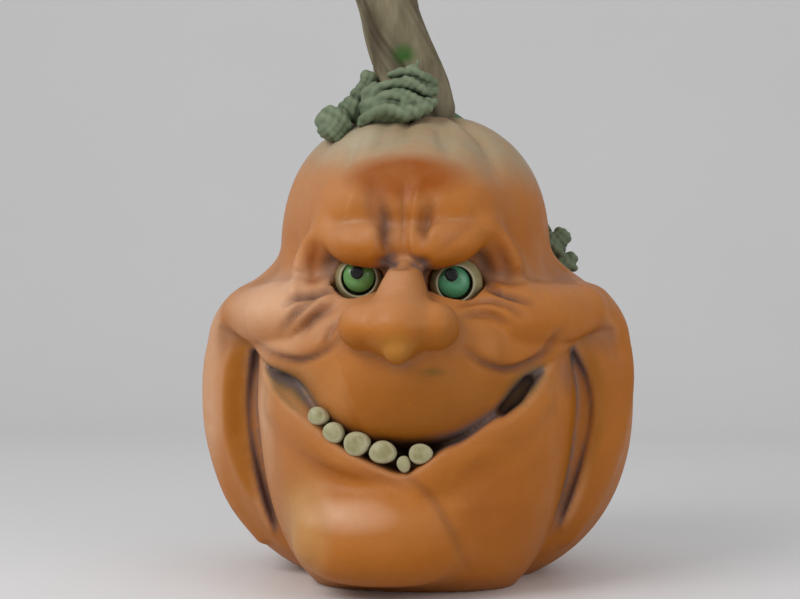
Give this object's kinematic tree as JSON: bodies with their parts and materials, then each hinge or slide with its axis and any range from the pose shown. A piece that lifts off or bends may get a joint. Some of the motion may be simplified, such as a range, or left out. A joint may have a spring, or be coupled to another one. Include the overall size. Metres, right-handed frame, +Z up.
{
  "type": "sculpted pumpkin ornament with a grinning face",
  "caption": "Sculpted pumpkin ornament with a frowning, grinning face, inset eyes, pebble teeth, a crooked stem and curled leaves, standing on its own flat base.",
  "frame": {"origin": "on the flat base, under the middle of the head", "axes": "+Z up through the head to the stem, the face looks along -Y, +X is to the viewer's right"},
  "size_m": [0.2995, 0.2852, 0.434],
  "materials": {
    "orange_skin": "satin",
    "stem_brown": "matte, twisted grain",
    "leaf_green": "satin",
    "eye_white": "gloss",
    "iris_green": "gloss",
    "pupil_black": "gloss",
    "tooth_cream": "satin"
  },
  "bodies": {
    "root": {"pumpkin_head": "orange_skin", "stem": "stem_brown", "vine": "leaf_green", "leaf_front": "leaf_green", "leaf_left": "leaf_green", "leaf_right": "leaf_green", "eyeball_left": "eye_white", "iris_left": "iris_green", "pupil_left": "pupil_black", "eyeball_right": "eye_white", "iris_right": "iris_green", "pupil_right": "pupil_black", "tooth_1": "tooth_cream", "tooth_2": "tooth_cream", "tooth_3": "tooth_cream", "tooth_4": "tooth_cream", "tooth_5": "tooth_cream", "tooth_6": "tooth_cream"}
  },
  "joints": []
}
